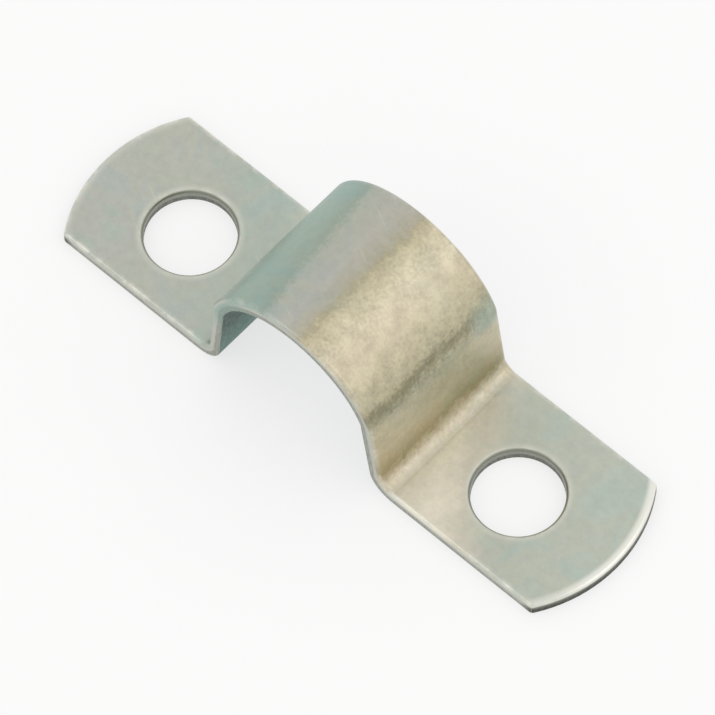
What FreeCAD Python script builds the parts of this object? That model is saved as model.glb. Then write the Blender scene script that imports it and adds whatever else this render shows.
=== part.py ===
"""Two-hole conduit strap, folded from one strip of zinc-plated sheet steel.

The strap stands on its two ears with the arch up, as it sits on a wall laid flat. X runs along
the strip, Y across it and Z away from the mounting face. The origin is on the mounting face,
midway between the ears. Lengths are in millimetres.

The folded strip is drawn as a section in the XZ plane: the crown of the arch, the shoulders where
the round ends, the leaning walls, the folds and the ears. It is padded over the strip's width. One
ear's rounded end and its hole are cut and mirrored to the other. Last, the sheared edges get their
soft roll-over on the punch side and a smaller break underneath.
"""

import FreeCAD, Part
import math
import os
import Sketcher

NODE = "conduit_strap"

# Driving dimensions: alias, value, what it is.
SIZES = [
    ("strip_width", 16.0, "width of the strip, along Y"),
    ("strip_gauge", 1.3, "thickness of the sheet"),
    ("strap_length", 59.5, "over both ear tips, along X"),
    ("strap_height", 16.5, "mounting face to the top of the crown"),
    ("arch_radius", 8.4, "inside of the crown, for 16 mm conduit"),
    ("wall_gap", 15.8, "clear width between the walls at their upper ends"),
    ("wall_lean", 6.5, "how far the walls stand out from upright, in degrees"),
    ("shoulder_radius", 0.8, "inside bend where the crown meets a wall"),
    ("fold_radius", 1.3, "inside bend between a wall and its ear"),
    ("tip_radius", 14.0, "arc that ends an ear"),
    ("corner_radius", 0.5, "softened corner between the arc and a long edge"),
    ("hole_diameter", 8.2, "punched hole, for an M8 screw"),
    ("hole_pitch", 38.2, "from hole to hole, along X"),
    ("hole_offset", 0.6, "both holes sit this far off the middle of the strip, towards -Y"),
    ("edge_roll", 0.4, "roll-over of the sheared edge on the upper, punch side"),
    ("edge_break", 0.12, "broken edge on the underside"),
    ("hole_roll", 0.35, "roll-over of a hole's rim on the punch side"),
]

# How far a cutting sketch reaches past the sheet.
OVERCUT = 1.0


def add_sizes(doc):
    """Put the driving dimensions in a spreadsheet, one row and one alias each."""
    sheet = doc.addObject("Spreadsheet::Sheet", "sizes")
    for row, (alias, value, note) in enumerate(SIZES, start=1):
        sheet.set("A%d" % row, note)
        sheet.set("B%d" % row, str(value))
        sheet.setAlias("B%d" % row, alias)
    doc.recompute()
    return sheet


def origin_feature(body, role):
    """The body's own origin plane or axis with this role."""
    for feature in body.Origin.OriginFeatures:
        if feature.Role == role:
            return feature
    raise ValueError("no origin feature " + role)


def add_sketch(body, name, plane):
    """A sketch on one of the body's origin planes."""
    sketch = body.newObject("Sketcher::SketchObject", name)
    sketch.AttachmentSupport = [(origin_feature(body, plane), "")]
    sketch.MapMode = "FlatFace"
    return sketch


def line(sketch, start, end):
    """Add a straight segment and return its index."""
    return sketch.addGeometry(
        Part.LineSegment(FreeCAD.Vector(start[0], start[1], 0), FreeCAD.Vector(end[0], end[1], 0)))


def arc(sketch, centre, radius, start_deg, end_deg):
    """Add an arc that runs anticlockwise between two angles and return its index."""
    circle = Part.Circle(FreeCAD.Vector(centre[0], centre[1], 0), FreeCAD.Vector(0, 0, 1), radius)
    return sketch.addGeometry(
        Part.ArcOfCircle(circle, math.radians(start_deg), math.radians(end_deg)))


def tie(sketch, kind, *where):
    """Add a constraint that holds shape: tangent, coincident, vertical and so on."""
    return sketch.addConstraint(Sketcher.Constraint(kind, *where))


def drive(sketch, name, formula, kind, *where):
    """Add a named dimension and bind it to a formula of the spreadsheet's aliases."""
    index = sketch.addConstraint(Sketcher.Constraint(kind, *where))
    sketch.renameConstraint(index, name)
    sketch.setExpression("Constraints." + name, formula)
    return index


# Point numbers of a sketch element, and the sketch's own axes and origin.
START, END, CENTRE = 1, 2, 3
X_AXIS, Y_AXIS = -1, -2
ORIGIN = (-1, 1)


def bend_centres(size):
    """Centres (x, z) that the crown, the right shoulder and the right fold are bent about."""
    bend, gauge, fold = size["shoulder_radius"], size["strip_gauge"], size["fold_radius"]
    lean = math.radians(size["wall_lean"])
    crown_z = size["strap_height"] - size["arch_radius"] - gauge
    bend_x = size["wall_gap"] / 2 - bend * math.cos(lean)
    bend_z = crown_z + math.sqrt((size["arch_radius"] - bend) ** 2 - bend_x ** 2)
    fold_z = gauge + fold
    # From the shoulder's centre straight across the sheet, then down along the wall.
    reach = bend + gauge + fold
    slope = (bend_z + reach * math.sin(lean) - fold_z) / math.cos(lean)
    fold_x = bend_x + reach * math.cos(lean) + slope * math.sin(lean)
    return (0, crown_z), (bend_x, bend_z), (fold_x, fold_z)


def draw_profile(body, size):
    """The folded strip's section: crown, shoulders, leaning walls, folds and ears."""
    sketch = add_sketch(body, "profile", "XZ_Plane")

    gauge = size["strip_gauge"]
    inner = size["arch_radius"]
    bend = size["shoulder_radius"]
    fold = size["fold_radius"]
    tilt = size["wall_lean"]
    lean = math.radians(tilt)
    wall_in = size["wall_gap"] / 2
    tip = size["strap_length"] / 2
    (crown_x, crown_z), (bend_x, bend_z), (fold_x, fold_z) = bend_centres(size)
    turn = math.degrees(math.atan2(bend_z - crown_z, bend_x))

    def place_side(side, depth):
        """One surface from its crown's end to the tip; depth is its distance under the top."""
        radius = bend + gauge - depth
        corner = fold + depth
        ear = gauge - depth
        out_x, out_z = math.cos(lean), math.sin(lean)
        # Arcs run anticlockwise, so the left side's start where the right side's end.
        shoulder = arc(sketch, (side * bend_x, bend_z), radius,
                       *((tilt, turn) if side > 0 else (180 - turn, 180 - tilt)))
        wall = line(sketch, (side * (bend_x + radius * out_x), bend_z + radius * out_z),
                    (side * (fold_x - corner * out_x), fold_z - corner * out_z))
        folded = arc(sketch, (side * fold_x, fold_z), corner,
                     *((180 + tilt, 270) if side > 0 else (270, 360 - tilt)))
        flat = line(sketch, (side * fold_x, ear), (side * tip, ear))
        return shoulder, wall, folded, flat

    crowns, sides = [], {}
    for depth in (0, gauge):
        crown = arc(sketch, (crown_x, crown_z), inner + gauge - depth, turn, 180 - turn)
        crowns.append(crown)
        for side in (1, -1):
            # The shoulder and the fold both meet the wall with the same end of their arc.
            at_wall, away = (START, END) if side > 0 else (END, START)
            shoulder, wall, folded, flat = place_side(side, depth)
            tie(sketch, "Tangent", crown, at_wall, shoulder, away)
            tie(sketch, "Tangent", shoulder, at_wall, wall, START)
            tie(sketch, "Tangent", wall, END, folded, at_wall)
            tie(sketch, "Tangent", folded, away, flat, START)
            sides[side, depth] = shoulder, wall, folded, flat

    tie(sketch, "PointOnObject", crowns[0], CENTRE, Y_AXIS)
    tie(sketch, "Coincident", crowns[0], CENTRE, crowns[1], CENTRE)
    for side in (1, -1):
        top, under = sides[side, 0], sides[side, gauge]
        # Both surfaces bend about the same centres, so the sheet keeps its gauge all the way.
        tie(sketch, "Coincident", top[0], CENTRE, under[0], CENTRE)
        tie(sketch, "Parallel", top[1], under[1])
        tie(sketch, "Coincident", top[2], CENTRE, under[2], CENTRE)
        tip_face = line(sketch, (side * tip, gauge), (side * tip, 0))
        tie(sketch, "Coincident", top[3], END, tip_face, START)
        tie(sketch, "Coincident", tip_face, END, under[3], END)
        tie(sketch, "Horizontal", top[3])
        tie(sketch, "Vertical", tip_face)

    right_top, right, left = sides[1, 0], sides[1, gauge], sides[-1, gauge]
    tie(sketch, "PointOnObject", right[3], START, X_AXIS)
    tie(sketch, "PointOnObject", right[3], END, X_AXIS)
    tie(sketch, "PointOnObject", left[3], START, X_AXIS)
    tie(sketch, "Symmetric", right[1], START, left[1], START, Y_AXIS)
    tie(sketch, "Symmetric", right[1], END, left[1], END, Y_AXIS)
    tie(sketch, "Symmetric", right[3], END, left[3], END, Y_AXIS)

    drive(sketch, "crown", "sizes.arch_radius", "Radius", crowns[1], inner)
    drive(sketch, "shoulder", "sizes.shoulder_radius", "Radius", right[0], bend)
    drive(sketch, "fold", "sizes.fold_radius", "Radius", right_top[2], fold)
    drive(sketch, "gauge", "sizes.strip_gauge",
          "DistanceY", right[3], END, right_top[3], END, gauge)
    drive(sketch, "half_gap", "sizes.wall_gap / 2",
          "DistanceX", *ORIGIN, right[1], START, wall_in)
    drive(sketch, "lean", "(sizes.wall_lean - 90) * 1 deg", "Angle", right[1], lean - math.pi / 2)
    drive(sketch, "half_length", "sizes.strap_length / 2",
          "DistanceX", *ORIGIN, right[3], END, tip)
    drive(sketch, "arch_height", "sizes.strap_height - sizes.arch_radius - sizes.strip_gauge",
          "DistanceY", *ORIGIN, crowns[0], CENTRE, crown_z)
    return sketch


def draw_tip_cut(body, size):
    """What is sheared away beyond the ear's rounded end, drawn in plan."""
    sketch = add_sketch(body, "tip_cut", "XY_Plane")

    radius = size["tip_radius"]
    tip = size["strap_length"] / 2
    reach = size["strip_width"] / 2 + OVERCUT
    sweep = math.degrees(math.asin(reach / radius))
    shoulder = tip - radius + math.sqrt(radius ** 2 - reach ** 2)

    round_end = arc(sketch, (tip - radius, 0), radius, -sweep, sweep)
    far = line(sketch, (shoulder, reach), (tip + OVERCUT, reach))
    beyond = line(sketch, (tip + OVERCUT, reach), (tip + OVERCUT, -reach))
    near = line(sketch, (tip + OVERCUT, -reach), (shoulder, -reach))

    tie(sketch, "Coincident", round_end, END, far, START)
    tie(sketch, "Coincident", far, END, beyond, START)
    tie(sketch, "Coincident", beyond, END, near, START)
    tie(sketch, "Coincident", near, END, round_end, START)
    tie(sketch, "Horizontal", far)
    tie(sketch, "Vertical", beyond)
    tie(sketch, "Horizontal", near)
    tie(sketch, "PointOnObject", round_end, CENTRE, X_AXIS)
    tie(sketch, "Symmetric", round_end, START, round_end, END, X_AXIS)

    drive(sketch, "tip_arc", "sizes.tip_radius", "Radius", round_end, radius)
    drive(sketch, "arc_centre", "sizes.strap_length / 2 - sizes.tip_radius",
          "DistanceX", *ORIGIN, round_end, CENTRE, tip - radius)
    drive(sketch, "past_edge", "sizes.strip_width / 2 + %g" % OVERCUT,
          "DistanceY", *ORIGIN, far, END, reach)
    drive(sketch, "past_tip", "sizes.strap_length / 2 + %g" % OVERCUT,
          "DistanceX", *ORIGIN, far, END, tip + OVERCUT)
    return sketch


def draw_hole(body, size):
    """The ear's hole, punched a little off the middle of the strip."""
    sketch = add_sketch(body, "hole_plan", "XY_Plane")
    across = size["hole_pitch"] / 2
    offset = size["hole_offset"]
    radius = size["hole_diameter"] / 2
    centre = FreeCAD.Vector(across, -offset, 0)
    hole = sketch.addGeometry(Part.Circle(centre, FreeCAD.Vector(0, 0, 1), radius))
    drive(sketch, "hole", "sizes.hole_diameter", "Diameter", hole, 2 * radius)
    drive(sketch, "across", "sizes.hole_pitch / 2", "DistanceX", *ORIGIN, hole, CENTRE, across)
    drive(sketch, "offset", "sizes.hole_offset", "DistanceY", hole, CENTRE, *ORIGIN, offset)
    return sketch


def pad_strip(body, sketch):
    """Give the section the strip's width, half to each side of the XZ plane."""
    pad = body.newObject("PartDesign::Pad", "folded_strip")
    pad.Profile = sketch
    pad.SideType = "Symmetric"
    pad.setExpression("Length", "sizes.strip_width")
    body.Document.recompute()
    return pad


def cut_up(body, name, sketch):
    """Cut upwards from the mounting face through the ear, and make sure metal went."""
    before = body.Shape.Volume
    pocket = body.newObject("PartDesign::Pocket", name)
    pocket.Profile = sketch
    pocket.Type = "ThroughAll"
    pocket.Reversed = True
    body.Document.recompute()
    if body.Shape.Volume > before - 1.0:
        raise RuntimeError(name + " removed nothing")
    return pocket


def mirror_cuts(body, features):
    """Repeat one ear's cuts on the other side of the YZ plane."""
    mirror = body.newObject("PartDesign::Mirrored", "both_ears")
    mirror.Originals = features
    mirror.MirrorPlane = (origin_feature(body, "YZ_Plane"), [""])
    body.Tip = mirror
    body.Document.recompute()
    return mirror


def on_punch_side(point, size):
    """True for a point on the upper and outer surface of the folded sheet."""
    half = size["strip_gauge"] / 2
    lean = math.radians(size["wall_lean"])
    x, z = abs(point.x), point.z
    (crown_x, crown_z), (bend_x, bend_z), (fold_x, fold_z) = bend_centres(size)
    if x > fold_x:
        return z > half
    if z > bend_z:
        return math.hypot(x - crown_x, z - crown_z) > size["arch_radius"] + half
    if (x - fold_x) * math.sin(lean) > (z - fold_z) * math.cos(lean):
        return math.hypot(x - fold_x, z - fold_z) < size["fold_radius"] + half
    across = (x - bend_x) * math.cos(lean) + (z - bend_z) * math.sin(lean)
    return across > size["shoulder_radius"] + half


def is_rim(face, size):
    """True for a sheared face: a long edge, a rounded tip or its corner."""
    surface = face.Surface
    if isinstance(surface, Part.Plane):
        return abs(surface.Axis.y) > 0.99
    if isinstance(surface, Part.Cylinder):
        upright = abs(surface.Axis.z) > 0.99
        return upright and abs(surface.Radius - size["hole_diameter"] / 2) > 0.01
    return False


def middle_of(edge):
    """The point halfway along an edge."""
    return edge.valueAt((edge.FirstParameter + edge.LastParameter) / 2)


def corner_edges(shape, size):
    """The upright edges where a rounded tip meets the long edges."""
    names = []
    for number, edge in enumerate(shape.Edges, start=1):
        ends = [vertex.Point for vertex in edge.Vertexes]
        if len(ends) == 2 and abs((ends[1] - ends[0]).z) > size["strip_gauge"] * 0.9:
            upright = (ends[1] - ends[0]).normalize()
            outside = abs(abs(ends[0].y) - size["strip_width"] / 2) < 0.01
            beyond = abs(ends[0].x) > size["hole_pitch"] / 2
            if abs(upright.z) > 0.99 and outside and beyond:
                names.append("Edge%d" % number)
    return names


def rim_edges(shape, size, punch_side):
    """The edges round the strip on one surface of the sheet."""
    rims = [face for face in shape.Faces if is_rim(face, size)]
    names = []
    for number, edge in enumerate(shape.Edges, start=1):
        owners = sum(any(edge.isSame(other) for other in face.Edges) for face in rims)
        if owners == 1 and on_punch_side(middle_of(edge), size) == punch_side:
            names.append("Edge%d" % number)
    return names


def hole_edges(shape, size):
    """The rims of the holes on the punch side."""
    names = []
    for number, edge in enumerate(shape.Edges, start=1):
        if isinstance(edge.Curve, Part.Circle):
            centre = edge.Curve.Center
            if (abs(edge.Curve.Radius - size["hole_diameter"] / 2) < 0.01
                    and abs(edge.Curve.Axis.z) > 0.99 and centre.z > size["strip_gauge"] / 2):
                names.append("Edge%d" % number)
    return names


def round_over(body, name, edges, alias, count):
    """Fillet these edges of the body's tip with a radius from the spreadsheet."""
    if len(edges) != count:
        raise RuntimeError("%s found %d edges, not %d" % (name, len(edges), count))
    fillet = body.newObject("PartDesign::Fillet", name)
    fillet.Base = (body.Tip if body.Tip != fillet else fillet.BaseFeature, edges)
    fillet.setExpression("Radius", "sizes." + alias)
    body.Tip = fillet
    body.Document.recompute()
    return fillet


def build_strap(doc, size):
    """The whole strap as one body."""
    body = doc.addObject("PartDesign::Body", NODE)
    body.Label = NODE
    pad_strip(body, draw_profile(body, size))
    tip = cut_up(body, "round_tip", draw_tip_cut(body, size))
    hole = cut_up(body, "punched_hole", draw_hole(body, size))
    mirror_cuts(body, [tip, hole])
    round_over(body, "tip_corners", corner_edges(body.Shape, size), "corner_radius", 4)
    round_over(body, "hole_roll_over", hole_edges(body.Shape, size), "hole_roll", 2)
    # Each long edge has nine stretches on one surface: the crown, and to either side a shoulder, a
    # wall, a fold and an ear. Each tip has four: its arc's two halves and its two corners.
    round_over(body, "edge_roll_over", rim_edges(body.Shape, size, True), "edge_roll", 26)
    round_over(body, "underside_break", rim_edges(body.Shape, size, False), "edge_break", 26)
    return body


def check(doc):
    """Stop if any object of the document failed or any sketch can still move."""
    for thing in doc.Objects:
        if "Invalid" in thing.State or "Error" in thing.State:
            raise RuntimeError(thing.Name + " is " + ", ".join(thing.State))
        if thing.isDerivedFrom("Sketcher::SketchObject") and not thing.FullyConstrained:
            raise RuntimeError(thing.Name + " isn't fully constrained")
    shape = doc.getObject(NODE).Shape
    if shape.isNull() or not shape.isValid() or len(shape.Solids) != 1:
        raise RuntimeError(NODE + " isn't one sound solid")


os.makedirs("parts", exist_ok=True)
document = FreeCAD.newDocument("conduit_strap_part")
sizes = add_sizes(document)
values = {alias: float(value) for alias, value, note in SIZES}
strap = build_strap(document, values)
document.recompute()
check(document)
strap.Shape.exportStep("parts/%s.step" % NODE)
box = strap.Shape.optimalBoundingBox()
print("%s: volume %.1f mm3, size %.2f x %.2f x %.2f mm"
      % (NODE, strap.Shape.Volume, box.XLength, box.YLength, box.ZLength))
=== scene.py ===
"""Looks for a two-hole conduit strap of zinc-plated, passivated sheet steel.

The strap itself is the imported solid, left as it is: its section, folds, holes and rolled edges are
true there. This script gives it its plating, and sets it on a pale floor in soft studio light.
Blender's lengths are in metres; the plating is worked out in millimetres and degrees.
"""

import math
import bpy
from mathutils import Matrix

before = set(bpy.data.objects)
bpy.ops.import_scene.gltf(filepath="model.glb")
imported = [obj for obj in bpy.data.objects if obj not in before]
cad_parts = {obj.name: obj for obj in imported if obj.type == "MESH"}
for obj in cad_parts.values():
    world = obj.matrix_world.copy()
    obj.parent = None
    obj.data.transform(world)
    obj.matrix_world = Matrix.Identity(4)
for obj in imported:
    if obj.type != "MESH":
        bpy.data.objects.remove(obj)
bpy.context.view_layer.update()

from types import SimpleNamespace

import bpy
from mathutils import Matrix, Vector

# The strap's own sizes, in millimetres, as its drawing gives them.
GAUGE = 1.3
HALF_WIDTH = 8.0
HALF_LENGTH = 29.75
TIP_RADIUS = 14.0
HOLE_RADIUS = 4.1
HOLE_ACROSS = 19.1
HOLE_OFF_MIDDLE = -0.6
CROWN_RADIUS = 8.4       # inside
CROWN_CENTRE = 6.8       # height of the crown's centre above the mounting face
WALL_LEAN = math.radians(6.5)
WALL_TOP = (7.9, 9.59)   # upper end of a wall's inner surface, across and up
FOLD_RADIUS = 1.3        # inside the bend, on the ear's upper side

# What follows from them for the right half of the section; the left half mirrors it.
OUTWARD = (math.cos(WALL_LEAN), 0, math.sin(WALL_LEAN))       # square to the wall
DOWNWARD = (math.sin(WALL_LEAN), 0, -math.cos(WALL_LEAN))     # along the wall
WALL_FACE = WALL_TOP[0] * OUTWARD[0] + WALL_TOP[1] * OUTWARD[2]
FOLD_OUTER = FOLD_RADIUS + GAUGE
FOLD_CENTRE = ((WALL_FACE + FOLD_OUTER * (1 - OUTWARD[2])) / OUTWARD[0], 0, FOLD_OUTER)
WALL_FOOT = FOLD_CENTRE[0] * DOWNWARD[0] + FOLD_CENTRE[2] * DOWNWARD[2]
FOLD_BORDER = (FOLD_CENTRE[0] - 0.7, FOLD_CENTRE[0] + 0.3)    # from the arch to the ear
TIP_CENTRE = (HALF_LENGTH - TIP_RADIUS, 0, 0)

# Sizes of the plating's patterns, in millimetres, alike all ways or along X, Y and Z.
DRIFT = 4.5                      # the film's borders: their wide bends,
RAG = 0.9                        # their ragged edges
FRAY = 0.35                      # and the fringe of those
MOTTLE = 0.8
SPECK = 0.32                     # pits and specks, drawn coarser than real ones, to show
BLOTCH = 1.5
RIM_HIGHLIGHT_PATCH = 1.5                       # patches of painted highlight along a rim
SCRATCH = (6.4, 0.16, 6.4)       # drawn wider than real ones, to show
SCRATCHED_PATCH = 5.0
STREAK = (0.9, 4.5, 0.9)         # on the inside, along the conduit
TEAR_EDGE = 1.2                  # where the burnished band ends
TEAR_LINE = (0.14, 0.14, 0.98)   # through the gauge
RELIEF = 0.000012                # the plating's height, in metres

# Bands of the sheet, each from where it starts to where it is full: by depth in the gauge,
PUNCH_SIDE = (0.75, 1.15)
UNDERSIDE = (0.20, 0.05)
BELOW_ROLL = (1.05, 0.85)
TORN_BAND = (0.85, 0.70)
# by millimetres in from a rim, a tip or a hole,
ROLLED_RIM = (0.55, 0.20)
CUT_FACE = (0.10, 0.03)
TIP_HIGHLIGHT_BAND = (0.85, 0.45)
TIP_FACE = (0.90, 0.10)
HOLE_RING = (0.80, 0.50)
HOLE_WALL = (0.26, 0.12)
# and by degrees from the top of the crown, to the right or, below 0, to the left.
STRAW_STARTS = (-3, 17)
STRAW_ENDS = (109, 63)
ASKEW = (6, -23)
PATCH_STARTS = (54, 66)
PATCH_ENDS = (81, 74)
PAINTED_BLUE_GREEN_CUT_STARTS = (-26, -49)
PAINTED_BLUE_GREEN_CUT_ENDS = (-95, -72)
IN_WALLS = (63, 72)              # either way

# Levels of a noise pattern. SPREAD takes in most of it, and MIDDLE less, for more contrast. What
# shows only in places starts at the first of its two levels and is full at the second.
SPREAD = (0.3, 0.7)
MIDDLE = (0.35, 0.65)
RIM_HIGHLIGHT_PATCHED = (0.45, 0.62)
SCRATCHED = (0.70, 0.76)
SCRATCHED_PATCHES = (0.50, 0.62)
SCRATCHES_TURNED = math.radians(28)

# How far noise moves the film's borders, and how they slant over the strip: on the arch in degrees,
# on the ears in millimetres.
ARCH_DRIFT, ARCH_FRAY, ARCH_SLANT = 8.0, 11.5, 0.8
EAR_DRIFT, EAR_SLANT = 3.0, 0.55
# The far end of the right shoulder, by millimetres over the strip.
FAR_END = (4.6, 6.0)
FAR_DRIFT = 1.5

# The satin's roughness, and what specks, rolled rims and torn faces add to it.
SATIN = (0.40, 0.50)
SPECKS_ROUGHER, RIMS_ROUGHER, TORN_ROUGHER = 0.5, -0.10, 0.12

PAPER_GLOW = 0.68
SKY_STRENGTH = 0.87

# The film on the punch side round the arch, by degrees from the top, growing to the right. Its tints
# are partly the film's and partly painted light laid by angle: painted blue-green and grey
# reflection on the left, painted warm straw reflection over the crown, painted shade as a dark olive
# line at the right shoulder, painted olive-beige reflection down the wall, painted shade above the
# fold and a painted highlight at the fold.
ARCH_FILM_AND_PAINTED_LIGHT = [
    (-109.8, "#B3BAB1"), (-66.5, "#AEB8AF"), (-49.6, "#A2B5AC"), (-28.0, "#A3B5AD"),
    (-19.8, "#A2B1A8"), (-14.5, "#B8BDB5"), (-0.3, "#BFBFB8"), (9.3, "#BBB8AA"),
    (12.5, "#B9B39A"), (16.6, "#CEC5AA"), (23.8, "#DAD1B6"), (29.8, "#DCD3BA"),
    (39.4, "#CFC5AD"), (53.9, "#C4BCA3"), (64.0, "#BDB69C"), (69.7, "#948F77"),
    (74.3, "#ABA68E"), (79.1, "#C5C0AB"), (85.1, "#C8C2AC"), (102.0, "#C5BEA8"),
    (110.4, "#B8B097"), (115.9, "#A89F84"), (119.3, "#C0B8A2"), (122.4, "#CEC6B1"),
    (126.1, "#DCD4C0")]
ARCH_FILM_AND_PAINTED_LIGHT_ENDS = (-114.6, 126.1)
# And along the ears, by millimetres along X: green-grey, with a painted highlight in straw beside
# the right fold.
EAR_FILM_AND_PAINTED_HIGHLIGHT = [
    (-28.2, "#BFC3BC"), (-21.0, "#C0C4BC"), (-11.4, "#B9C4BC"), (11.4, "#F4EDDC"),
    (13.8, "#DCD7C8"), (18.0, "#C2C8BD"), (27.6, "#C4CBC1")]
EAR_FILM_AND_PAINTED_HIGHLIGHT_ENDS = (-30.0, 30.0)
# Over both lie weak blue-green, straw and rose, in patches about 6 mm across.
PATCH_TINTS = [(0.30, "#A9BDB8"), (0.42, "#BABDB7"), (0.50, "#C7C1A9"), (0.58, "#C8BAB2"),
               (0.70, "#AFC0AF")]
PATCHES_PER_MM = 0.17
# The film inside and underneath, blue-green and dull in streaks, and much darker inside the walls as
# painted shade, by degrees from the top.
STREAK_TINTS = [(0.28, "#6F8D84"), (0.42, "#8CA59C"), (0.55, "#98AFA6"), (0.72, "#A3B6AC")]
WALL_PAINTED_SHADE = [(63.0, "#8CA59C"), (70.5, "#1A342C"), (91.7, "#2C5046"), (120.3, "#60857A")]
WALL_PAINTED_SHADE_ENDS = (63.0, 120.3)

# The rest of the finish: the small patch on the right shoulder, scratches,
GREEN_PATCH = "#AAB6A8"
SCRATCH_SHINE = "#E2E2D8"
# the painted highlights on the rims, the tips and round the holes, the holes' walls,
RIM_PAINTED_HIGHLIGHT = "#E0DFD4"
TIP_PAINTED_HIGHLIGHT = "#F6F5EC"
HOLE_RING_PAINTED_HIGHLIGHT = "#DEDDCF"
HOLE_GREY = "#8F9285"
# and the sheared faces: in the open, blue-green on the left shoulder as painted reflection,
# and dark at the tips as painted shade, and darker in the holes.
BURNISHED, BURNISHED_PAINTED_BLUE_GREEN, BURNISHED_DARK = "#C2C4BB", "#A2B5AB", "#777970"
TORN, TORN_PAINTED_BLUE_GREEN, TORN_DARK = "#9EA097", "#94AA9F", "#4B4C44"
TEAR_LINES, TEAR_LINES_DARK = "#B3B5AC", "#6B6D65"


# ---------------------------------------------------------------- small tools

def paint(hex_colour):
    """An sRGB hex colour as the linear RGBA that a shader takes."""
    parts = [int(hex_colour[i:i + 2], 16) / 255 for i in (1, 3, 5)]
    return [c / 12.92 if c <= 0.04045 else ((c + 0.055) / 1.055) ** 2.4 for c in parts] + [1.0]


def put(tree, kind, links=(), out=0, stops=(), **settings):
    """Add one node and give back its output out, by name or number.

    links gives its inputs, in order or by name or number, an output to take, a value or a hex
    colour. stops are a colour ramp's, each a position and a hex colour.
    """
    node = tree.nodes.new("ShaderNode" + kind)
    for name, value in settings.items():
        setattr(node, name, value)
    for socket, value in links.items() if isinstance(links, dict) else enumerate(links):
        if isinstance(value, bpy.types.NodeSocket):
            tree.links.new(value, node.inputs[socket])
        else:
            node.inputs[socket].default_value = paint(value) if isinstance(value, str) else value
    if stops:
        ramp = node.color_ramp.elements
        ramp.remove(ramp[1])
    for number, (position, colour) in enumerate(stops):
        stop = ramp.new(position) if number else ramp[0]
        stop.position = position
        stop.color = paint(colour)
    return node.outputs[out] if node.outputs else None


def empty_material(name):
    """A material and its node tree, with nothing in it."""
    material = bpy.data.materials.new(name)
    material.use_nodes = True
    material.node_tree.nodes.clear()
    return material, material.node_tree


def grain(tree, spot, size, detail):
    """Uneven blotches of a size in millimetres, alike all ways or along X, Y and Z."""
    sizes = size if isinstance(size, tuple) else (size, size, size)
    scaled = put(tree, "VectorMath", (spot, sizes), operation="DIVIDE")
    return put(tree, "TexNoise", {"Vector": scaled, "Scale": 1.0, "Detail": detail,
                                  "Roughness": 0.6}, "Fac")


def tint_by(tree, place, film_and_painted_light, ends):
    """The colour of the film and its painted light at a place on its scale, whose stops lie between
    two ends.
    """
    start, end = ends
    stops = [((position - start) / (end - start), colour) for position, colour in film_and_painted_light]
    share = put(tree, "MapRange", (place, start, end))
    return put(tree, "ValToRGB", (share,), stops=stops)


# ---------------------------------------------------------------- the place on the sheet

def sheet_depth(tree, spot):
    """How deep in the gauge a point lies: 0 on the inside or underside, GAUGE on the punch side.

    Each flat and bend of the section is measured in turn, and the one that the point is on holds.
    """
    section = put(tree, "VectorMath", (spot, (1, 0, 1)), operation="MULTIPLY")
    section = put(tree, "VectorMath", (section,), operation="ABSOLUTE")
    across = put(tree, "SeparateXYZ", (section,), "X")
    height = across.node.outputs["Z"]

    wall = put(tree, "VectorMath", (section, OUTWARD), "Value", operation="DOT_PRODUCT")
    wall = put(tree, "Math", (wall, WALL_FACE), operation="SUBTRACT")
    fold = put(tree, "VectorMath", (section, FOLD_CENTRE), "Value", operation="DISTANCE")
    fold = put(tree, "Math", (FOLD_OUTER, fold), operation="SUBTRACT")
    below_wall = put(tree, "VectorMath", (section, DOWNWARD), "Value", operation="DOT_PRODUCT")
    below_wall = put(tree, "Math", (below_wall, WALL_FOOT), operation="GREATER_THAN")
    lower = put(tree, "Mix", {0: below_wall, 2: wall, 3: fold})
    on_ear = put(tree, "Math", (across, FOLD_CENTRE[0]), operation="GREATER_THAN")
    lower = put(tree, "Mix", {0: on_ear, 2: lower, 3: height})

    # A point below the crown's centre is put far inside, so that it never counts as crown.
    crown = put(tree, "VectorMath", (section, (0, 0, CROWN_CENTRE)), "Value", operation="DISTANCE")
    below_crown = put(tree, "Math", (height, CROWN_CENTRE), operation="LESS_THAN")
    crown = put(tree, "Math", (below_crown, -100.0, crown), operation="MULTIPLY_ADD")
    crown = put(tree, "Math", (crown, CROWN_RADIUS), operation="SUBTRACT")
    return put(tree, "Math", (lower, crown), operation="MAXIMUM")


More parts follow.
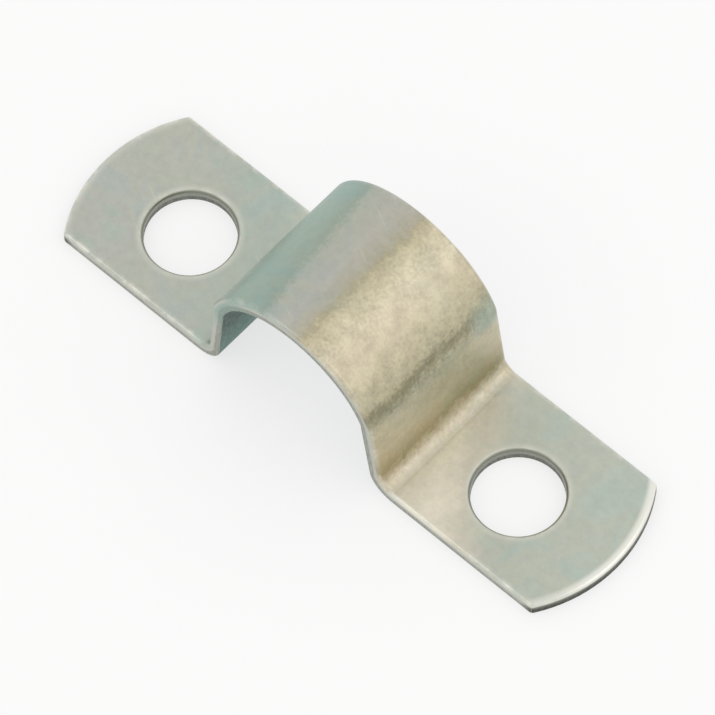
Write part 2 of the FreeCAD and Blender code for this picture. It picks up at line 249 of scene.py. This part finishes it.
def sheet_position(tree):
    """Where a point lies on the folded sheet, in millimetres, from Object coordinates.

    spot is the point, along its X and over its Y; depth runs through the gauge;
    rim is the distance in from the nearest cut edge, a long edge, an ear's tip or a hole, and tip
    and bore are those from a tip and from a hole alone;
    turn is the angle round the crown's centre, in degrees, 0 at the top, growing to the right;
    arched is 1 on the arch and 0 on the ears, and upper is 1 on the punch side.
    """
    spot = put(tree, "TexCoord", out="Object")
    spot = put(tree, "VectorMath", (spot, (1000, 1000, 1000)), operation="MULTIPLY")
    along = put(tree, "SeparateXYZ", (spot,), "X")
    over, height = along.node.outputs["Y"], along.node.outputs["Z"]
    across = put(tree, "Math", (along,), operation="ABSOLUTE")

    edge = put(tree, "Math", (over,), operation="ABSOLUTE")
    edge = put(tree, "Math", (HALF_WIDTH, edge), operation="SUBTRACT")
    tip = put(tree, "Math", (across, TIP_CENTRE[0]), operation="MAXIMUM")
    tip = put(tree, "CombineXYZ", (tip, over))
    tip = put(tree, "VectorMath", (tip, TIP_CENTRE), "Value", operation="DISTANCE")
    tip = put(tree, "Math", (TIP_RADIUS, tip), operation="SUBTRACT")
    bore = put(tree, "CombineXYZ", (across, over))
    bore = put(tree, "VectorMath", (bore, (HOLE_ACROSS, HOLE_OFF_MIDDLE, 0)), "Value",
               operation="DISTANCE")
    bore = put(tree, "Math", (bore, HOLE_RADIUS), operation="SUBTRACT")
    rim = put(tree, "Math", (edge, tip), operation="MINIMUM")
    rim = put(tree, "Math", (rim, bore), operation="MINIMUM")

    above = put(tree, "Math", (height, CROWN_CENTRE), operation="SUBTRACT")
    turn = put(tree, "Math", (along, above), operation="ARCTAN2")
    turn = put(tree, "Math", (turn,), operation="DEGREES")
    arched = put(tree, "MapRange", (across, *FOLD_BORDER, 1.0, 0.0))
    depth = sheet_depth(tree, spot)
    upper = put(tree, "MapRange", (depth, *PUNCH_SIDE))
    return SimpleNamespace(spot=spot, along=along, over=over, depth=depth, rim=rim, tip=tip,
                           bore=bore, turn=turn, arched=arched, upper=upper)


# ---------------------------------------------------------------- the plating

def outer_film_and_painted_light(tree, on):
    """The passivation film on the punch side with painted reflections, shade and highlights: over
    the arch by the angle, along the ears by X.
    """
    drift = put(tree, "Math", (grain(tree, on.spot, DRIFT, 3.0), 1.0), operation="SUBTRACT")
    drift = put(tree, "Math", (drift, grain(tree, on.spot, RAG, 3.0)), operation="ADD")
    fringe = grain(tree, on.spot, FRAY, 3.0)

    # Round the arch the borders run a little askew on the left.
    askew = put(tree, "MapRange", (on.turn, *ASKEW, 0.0, ARCH_SLANT))
    place = on.turn
    for amount, share in ((on.over, askew), (drift, ARCH_DRIFT), (fringe, ARCH_FRAY)):
        place = put(tree, "Math", (amount, share, place), operation="MULTIPLY_ADD")
    arch = tint_by(tree, place, ARCH_FILM_AND_PAINTED_LIGHT, ARCH_FILM_AND_PAINTED_LIGHT_ENDS)
    # At the right shoulder's far end the blue-green comes back as a small patch.
    patch = put(tree, "Math", (drift, FAR_DRIFT, on.over), operation="MULTIPLY_ADD")
    patch = put(tree, "MapRange", (patch, *FAR_END, 0.0, 0.8))
    for band in (PATCH_STARTS, PATCH_ENDS):
        patch = put(tree, "MapRange", (on.turn, *band, 0.0, patch))
    arch = put(tree, "Mix", {0: patch, 6: arch, 7: GREEN_PATCH}, 2, data_type="RGBA")

    # On the ears the painted straw highlight beside the right fold reaches further on the near side.
    place = on.along
    for amount, share in ((drift, EAR_DRIFT), (on.over, EAR_SLANT)):
        place = put(tree, "Math", (amount, share, place), operation="MULTIPLY_ADD")
    ears = tint_by(tree, place, EAR_FILM_AND_PAINTED_HIGHLIGHT, EAR_FILM_AND_PAINTED_HIGHLIGHT_ENDS)
    return put(tree, "Mix", {0: on.arched, 6: ears, 7: arch}, 2, data_type="RGBA")


def uneven_film_and_painted_light(tree, on, straw, mottle, speckle, speck_share):
    """The outer film with its painted light, tinted in patches and made uneven by mottling, specks
    and blotches.

    straw is 1 on the crown's straw-coloured half, which is the most uneven.
    """
    patches = put(tree, "TexNoise", {"Vector": on.spot, "Scale": PATCHES_PER_MM, "Detail": 2.0,
                                     "Distortion": 1.2}, "Fac")
    tints = put(tree, "ValToRGB", (patches,), stops=PATCH_TINTS)
    share = put(tree, "MapRange", (straw, 0.0, 1.0, 0.45, 0.20))
    film_and_painted_light = put(tree, "Mix", {0: share, 6: outer_film_and_painted_light(tree, on), 7: tints}, 2,
               data_type="RGBA", blend_type="SOFT_LIGHT")

    blotch = put(tree, "MapRange", (grain(tree, on.spot, BLOTCH, 3.0), *MIDDLE, -0.10, 0.10))
    shade = put(tree, "MapRange", (mottle, *SPREAD, 0.94, 1.06))
    for amount, share in ((speckle, speck_share), (blotch, straw)):
        shade = put(tree, "Math", (amount, share, shade), operation="MULTIPLY_ADD")
    return put(tree, "Mix", {0: 1.0, 6: film_and_painted_light, 7: shade}, 2,
               data_type="RGBA", blend_type="MULTIPLY")


def scratches(tree, on):
    """Where a few fine scratches lie, askew to the strap."""
    askew = put(tree, "VectorRotate", {"Vector": on.spot, "Angle": SCRATCHES_TURNED},
                rotation_type="Z_AXIS")
    patches = grain(tree, on.spot, SCRATCHED_PATCH, 1.0)
    patches = put(tree, "MapRange", (patches, *SCRATCHED_PATCHES, 0.0, 0.4))
    return put(tree, "MapRange", (grain(tree, askew, SCRATCH, 1.0), *SCRATCHED, 0.0, patches))


def inner_film_and_painted_shade(tree, on):
    """The film inside and underneath: dull blue-green with streaks, and painted shade that darkens
    it inside the walls.
    """
    streaks = grain(tree, on.spot, STREAK, 3.0)
    dull = put(tree, "ValToRGB", (streaks,), stops=STREAK_TINTS)
    turned = put(tree, "Math", (on.turn,), operation="ABSOLUTE")
    # Painted shade inside the walls, by degrees from the top.
    dark = tint_by(tree, turned, WALL_PAINTED_SHADE, WALL_PAINTED_SHADE_ENDS)
    # The left wall gets the darker painted shade of the two.
    lighter = put(tree, "MapRange", (on.along, -2.0, 2.0, 0.15, 0.60))
    dark = put(tree, "Mix", {0: lighter, 6: dark, 7: dull}, 2, data_type="RGBA")
    in_walls = put(tree, "MapRange", (turned, *IN_WALLS, 0.0, on.arched))
    return put(tree, "Mix", {0: in_walls, 6: dull, 7: dark}, 2, data_type="RGBA")


def rim_highlights_and_hole_walls(tree, on, film_and_painted_light, rolled, in_bore):
    """Painted highlights on the rolled rims: in places along the long edges, all along the tips, and
    a thin ring outside each hole; and a grey wall within each hole."""
    # Painted highlight in patches along the long edges, fewer on the arch.
    rim_highlight = put(tree, "MapRange", (grain(tree, on.spot, RIM_HIGHLIGHT_PATCH, 4.0), *RIM_HIGHLIGHT_PATCHED, 0.10, 1.0))
    fewer = put(tree, "MapRange", (on.arched, 0.0, 1.0, 1.0, 0.25))
    for share in (fewer, rolled):
        rim_highlight = put(tree, "Math", (rim_highlight, share), operation="MULTIPLY")
    # Painted highlight: far brighter on the right tip than on the left, and least at its near
    # corner.
    tip_highlight = put(tree, "MapRange", (on.tip, *TIP_HIGHLIGHT_BAND, 0.0, on.upper))
    for share in (put(tree, "MapRange", (on.along, -5.0, 5.0, 0.2, 0.95)),
                  put(tree, "MapRange", (on.over, -7.0, -2.5, 0.45, 1.0))):
        tip_highlight = put(tree, "Math", (tip_highlight, share), operation="MULTIPLY")
    # Painted highlight: a thin ring outside each hole.
    ring = put(tree, "MapRange", (on.bore, *HOLE_RING, 0.0, 0.35))
    ring = put(tree, "Math", (ring, on.upper), operation="MULTIPLY")
    for share, shine in ((rim_highlight, RIM_PAINTED_HIGHLIGHT), (tip_highlight, TIP_PAINTED_HIGHLIGHT), (ring, HOLE_RING_PAINTED_HIGHLIGHT),
                         (in_bore, HOLE_GREY)):
        film_and_painted_light = put(tree, "Mix", {0: share, 6: film_and_painted_light, 7: shine}, 2, data_type="RGBA")
    return film_and_painted_light


def sheared_faces(tree, on, lines, torn, in_bore):
    """The cut faces: burnished above, torn below with lines through the gauge.

    Those of the tips are the darkest, as painted shade, and those of the holes darker too; the left
    shoulder's take the arch's blue-green, as painted reflection.
    """
    # Painted shade: the tips' faces dark all through, the holes' walls darker in part.
    at_tip = put(tree, "MapRange", (on.tip, *TIP_FACE))
    dark = put(tree, "Math", (in_bore, 0.62), operation="MULTIPLY")
    dark = put(tree, "Math", (dark, at_tip), operation="MAXIMUM")
    # Painted reflection: the left shoulder's cut faces take the arch's blue-green.
    painted_blue_green = on.arched
    for band in (PAINTED_BLUE_GREEN_CUT_STARTS, PAINTED_BLUE_GREEN_CUT_ENDS):
        painted_blue_green = put(tree, "MapRange", (on.turn, *band, 0.0, painted_blue_green))
    painted_blue_green_torn = put(tree, "Math", (painted_blue_green, 0.8), operation="MULTIPLY")
    torn_dark = put(tree, "Mix", {0: lines, 6: TORN_DARK, 7: TEAR_LINES_DARK}, 2, data_type="RGBA")

    below = TORN
    for share, colour in ((lines, TEAR_LINES), (painted_blue_green_torn, TORN_PAINTED_BLUE_GREEN), (dark, torn_dark)):
        below = put(tree, "Mix", {0: share, 6: below, 7: colour}, 2, data_type="RGBA")
    faces = BURNISHED
    for share, colour in ((painted_blue_green, BURNISHED_PAINTED_BLUE_GREEN), (dark, BURNISHED_DARK), (torn, below)):
        faces = put(tree, "Mix", {0: share, 6: faces, 7: colour}, 2, data_type="RGBA")
    return faces


def zinc_plating():
    """Zinc-plated and passivated mild steel, sheared and folded from sheet.

    The plating is satin and slightly uneven, its film tints it straw, rose and green, with painted
    reflections, shade and highlights laid into its colour, and the cut faces show a burnished and a
    torn band.
    """
    material, tree = empty_material("zinc_plated_passivated_steel")
    on = sheet_position(tree)

    straw = put(tree, "MapRange", (on.turn, *STRAW_STARTS, 0.0, on.arched))
    waning = put(tree, "MapRange", (on.turn, *STRAW_ENDS, 0.25, 1.0))
    straw = put(tree, "Math", (straw, waning), operation="MULTIPLY")
    mottle = grain(tree, on.spot, MOTTLE, 4.0)
    speck = grain(tree, on.spot, SPECK, 2.0)
    speck_share = put(tree, "MapRange", (straw, 0.0, 1.0, 0.22, 0.75))
    speckle = put(tree, "MapRange", (speck, *SPREAD, -0.17, 0.17))
    lines = put(tree, "MapRange", (grain(tree, on.spot, TEAR_LINE, 2.0), *MIDDLE))
    torn = grain(tree, on.spot, TEAR_EDGE, 3.0)
    torn = put(tree, "Math", (torn, 0.35, on.depth), operation="MULTIPLY_ADD")
    torn = put(tree, "MapRange", (torn, *TORN_BAND))
    cut = put(tree, "MapRange", (on.depth, *BELOW_ROLL))
    cut = put(tree, "MapRange", (on.rim, *CUT_FACE, 0.0, cut))
    cut_and_torn = put(tree, "Math", (cut, torn), operation="MULTIPLY")
    rolled = put(tree, "MapRange", (on.rim, *ROLLED_RIM, 0.0, on.upper))
    in_bore = put(tree, "MapRange", (on.bore, *HOLE_WALL))

    colour = uneven_film_and_painted_light(tree, on, straw, mottle, speckle, speck_share)
    inside = put(tree, "MapRange", (on.depth, *UNDERSIDE))
    for share, coat in ((scratches(tree, on), SCRATCH_SHINE), (inside, inner_film_and_painted_shade(tree, on))):
        colour = put(tree, "Mix", {0: share, 6: colour, 7: coat}, 2, data_type="RGBA")
    colour = rim_highlights_and_hole_walls(tree, on, colour, rolled, in_bore)
    faces = sheared_faces(tree, on, lines, torn, in_bore)
    colour = put(tree, "Mix", {0: cut, 6: colour, 7: faces}, 2, data_type="RGBA")

    rough = put(tree, "MapRange", (mottle, *SPREAD, *SATIN))
    for amount, share in ((speckle, SPECKS_ROUGHER), (rolled, RIMS_ROUGHER),
                          (cut_and_torn, TORN_ROUGHER)):
        rough = put(tree, "Math", (amount, share, rough), operation="MULTIPLY_ADD")
    height = put(tree, "Math", (mottle, 0.5), operation="MULTIPLY")
    torn_lines = put(tree, "Math", (lines, cut_and_torn), operation="MULTIPLY")
    for amount, share in ((speck, speck_share), (torn_lines, 2.0)):
        height = put(tree, "Math", (amount, share, height), operation="MULTIPLY_ADD")
    bump = put(tree, "Bump", {"Height": height, "Strength": 1.0, "Distance": RELIEF})
    steel = put(tree, "BsdfPrincipled", {"Base Color": colour, "Metallic": 1.0,
                                         "Roughness": rough, "Normal": bump})
    put(tree, "OutputMaterial", {"Surface": steel})
    return material


# ---------------------------------------------------------------- the set

def pale_floor():
    """A plain pale sheet under the strap, which keeps its shadow.

    Matt white paper. Where it is seen, straight or mirrored in the strap, it also glows, so that it
    looks near white and lights the strap no more than paper would.
    """
    bpy.ops.object.select_all(action="DESELECT")
    bpy.ops.mesh.primitive_plane_add(size=3.0, location=(0, 0, 0))
    floor = bpy.context.object
    floor.name = "floor"
    material, tree = empty_material("pale_matt_paper")
    paper = put(tree, "BsdfDiffuse", {"Color": "#FCFCFB"})
    glow = put(tree, "Emission", {"Color": "#FFFFFF", "Strength": 1.0})
    seen = put(tree, "LightPath", out="Is Camera Ray")
    for ray in ("Is Glossy Ray", "Is Transmission Ray"):
        seen = put(tree, "Math", (seen, put(tree, "LightPath", out=ray)), operation="MAXIMUM")
    seen = put(tree, "Math", (seen, PAPER_GLOW), operation="MULTIPLY")
    both = put(tree, "MixShader", (seen, paper, glow))
    put(tree, "OutputMaterial", {"Surface": both})
    floor.data.materials.append(material)


def soft_box(name, spot, size, radiance):
    """A square soft lamp at spot, facing the strap."""
    lamp = bpy.data.lights.new(name, "AREA")
    lamp.shape = "SQUARE"
    lamp.size = size
    lamp.energy = radiance * math.pi * size * size
    holder = bpy.data.objects.new(name, lamp)
    holder.location = spot
    holder.rotation_euler = (-Vector(spot)).to_track_quat("-Z", "Y").to_euler()
    bpy.context.collection.objects.link(holder)


def studio_light():
    """Even pale surroundings, a large soft box on the right and a small one in front."""
    world = bpy.data.worlds.new("studio")
    bpy.context.scene.world = world
    world.use_nodes = True
    tree = world.node_tree
    tree.nodes.clear()
    sky = put(tree, "Background", {"Color": "#FFFFFF", "Strength": SKY_STRENGTH})
    put(tree, "OutputWorld", {"Surface": sky})
    soft_box("key_box", spot=(0.46, 0.20, 0.38), size=0.44, radiance=0.42)
    soft_box("front_box", spot=(-0.24, -0.44, 0.42), size=0.24, radiance=0.6)


def camera(azimuth, elevation, roll, distance, lens, aim):
    """A long lens at a bearing (0 looks along +Y, 90 along -X) and height, in degrees."""
    turn, rise = math.radians(azimuth), math.radians(elevation)
    level = math.cos(rise)
    out = Vector((math.sin(turn) * level, -math.cos(turn) * level, math.sin(rise)))
    data = bpy.data.cameras.new("camera")
    data.lens = lens
    data.sensor_width = 36.0
    data.clip_start = 0.01
    data.clip_end = 20.0
    holder = bpy.data.objects.new("camera", data)
    facing = (-out).to_track_quat("-Z", "Y").to_matrix().to_4x4()
    holder.matrix_world = (Matrix.Translation(Vector(aim) + out * distance) @ facing
                           @ Matrix.Rotation(math.radians(roll), 4, "Z"))
    bpy.context.collection.objects.link(holder)
    bpy.context.scene.camera = holder


# ---------------------------------------------------------------- put together

plating = zinc_plating()
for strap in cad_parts.values():
    for slot in strap.material_slots:
        slot.material = plating

pale_floor()
studio_light()
camera(azimuth=45.0, elevation=61.0, roll=-2.8, distance=0.75, lens=440.0, aim=(0, 0, 0.0012))
bpy.context.scene.view_settings.view_transform = "Standard"
